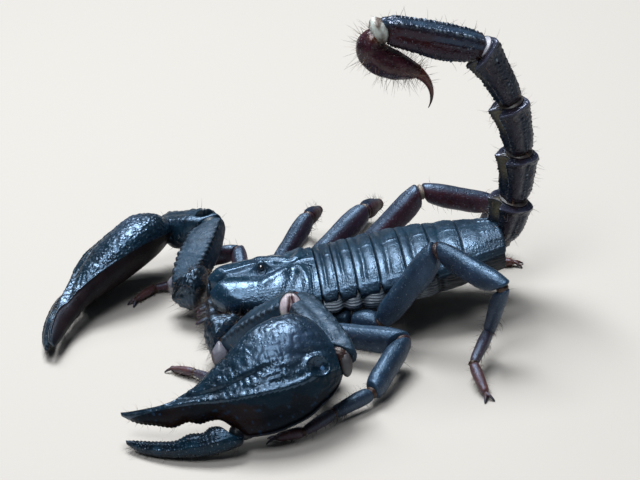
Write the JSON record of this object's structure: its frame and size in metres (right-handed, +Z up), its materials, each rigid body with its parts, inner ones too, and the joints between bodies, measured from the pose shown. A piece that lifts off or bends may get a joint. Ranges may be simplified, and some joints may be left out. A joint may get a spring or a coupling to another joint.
{
  "type": "scorpion",
  "caption": "Life-size still model of a black-blue Asian forest scorpion standing with its pincers low in front, legs spread and tail arched forward over its back.",
  "frame": {"origin": "on the floor, below the middle of the whole animal's bounding box", "axes": "+Z up, -Y the way the head points, +X towards the animal's left side"},
  "size_m": [0.0696, 0.079, 0.0509],
  "materials": {
    "back_shell": "black chitin with a blue sheen, satin and finely granular",
    "belly": "grey-black pleated membrane and dull belly plates",
    "eye": "wet black",
    "jaw": "golden brown, hairy",
    "comb": "pale dull tan",
    "pincer": "glossy blue-black chitin, dimpled and granular",
    "leg": "slate-blue satin chitin",
    "foot": "dark red-brown chitin",
    "tail": "black keeled chitin with a blue sheen",
    "venom_bulb": "dark maroon chitin, hairy",
    "sting": "red-brown to black, polished"
  },
  "bodies": {
    "root": {"carapace": "back_shell", "tergite_1": "back_shell", "tergite_2": "back_shell", "tergite_3": "back_shell", "tergite_4": "back_shell", "tergite_5": "back_shell", "tergite_6": "back_shell", "tergite_7": "back_shell", "fore_underside": "belly", "trunk": "belly", "median_eye_left": "eye", "chelicera_left": "jaw", "pecten_left": "comb", "pincer_left_trochanter": "pincer", "pincer_left_femur": "pincer", "pincer_left_patella": "pincer", "pincer_left_hand": "pincer", "pincer_left_movable_finger": "pincer", "leg_1_left_femur": "leg", "leg_1_left_patella": "leg", "leg_1_left_foot": "foot", "leg_2_left_femur": "leg", "leg_2_left_patella": "leg", "leg_2_left_foot": "foot", "leg_3_left_femur": "leg", "leg_3_left_patella": "leg", "leg_3_left_foot": "foot", "leg_4_left_femur": "leg", "leg_4_left_patella": "leg", "leg_4_left_foot": "foot", "median_eye_right": "eye", "chelicera_right": "jaw", "pecten_right": "comb", "pincer_right_trochanter": "pincer", "pincer_right_femur": "pincer", "pincer_right_patella": "pincer", "pincer_right_hand": "pincer", "pincer_right_movable_finger": "pincer", "leg_1_right_femur": "leg", "leg_1_right_patella": "leg", "leg_1_right_foot": "foot", "leg_2_right_femur": "leg", "leg_2_right_patella": "leg", "leg_2_right_foot": "foot", "leg_3_right_femur": "leg", "leg_3_right_patella": "leg", "leg_3_right_foot": "foot", "leg_4_right_femur": "leg", "leg_4_right_patella": "leg", "leg_4_right_foot": "foot", "metasoma_1": "tail", "metasoma_2": "tail", "metasoma_3": "tail", "metasoma_4": "tail", "metasoma_5": "tail", "vesicle": "venom_bulb", "aculeus": "sting"}
  },
  "joints": []
}
